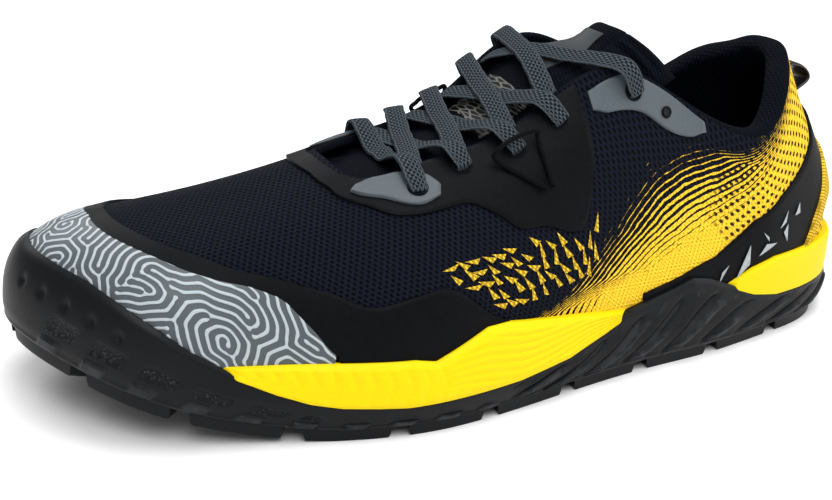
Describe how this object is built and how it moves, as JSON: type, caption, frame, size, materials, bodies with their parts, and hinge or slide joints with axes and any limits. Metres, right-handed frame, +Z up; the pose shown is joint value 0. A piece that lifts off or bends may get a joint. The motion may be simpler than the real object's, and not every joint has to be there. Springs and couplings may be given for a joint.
{
  "type": "trail running shoe",
  "caption": "Low barefoot trail running shoe for the left foot, with a hollow knit upper, a fused toe cap, flat laces, a lugged rubber sole and a yellow foam side.",
  "frame": {"origin": "centre of the bounding box on the ground plane that the lugs stand on", "axes": "+X to the toe, +Y to the outer side of the left foot, +Z up"},
  "size_m": [0.291, 0.1066, 0.101],
  "materials": {
    "knit_mesh": "engineered knit mesh, matte",
    "black_rubber": "matte moulded rubber",
    "yellow_foam": "smooth moulded foam skin",
    "dark_lining": "soft padded lining",
    "grey_film": "fused film, satin",
    "black_film": "fused film, satin",
    "grey_lace": "woven flat lace",
    "black_webbing": "woven webbing"
  },
  "bodies": {
    "root": {"upper": "knit_mesh", "outsole": "black_rubber", "midsole": "yellow_foam", "insole": "dark_lining", "toe_cap": "grey_film", "forefoot_film": "black_film", "eyestay": "black_film", "front_patch_outer": "grey_film", "front_patch_inner": "grey_film", "top_patch_outer": "grey_film", "top_patch_inner": "grey_film", "heel_counter": "black_film", "tongue": "dark_lining", "lace": "grey_lace", "cord_loop_outer": "grey_lace", "cord_loop_inner": "grey_lace", "pull_loop": "black_webbing"}
  },
  "joints": []
}
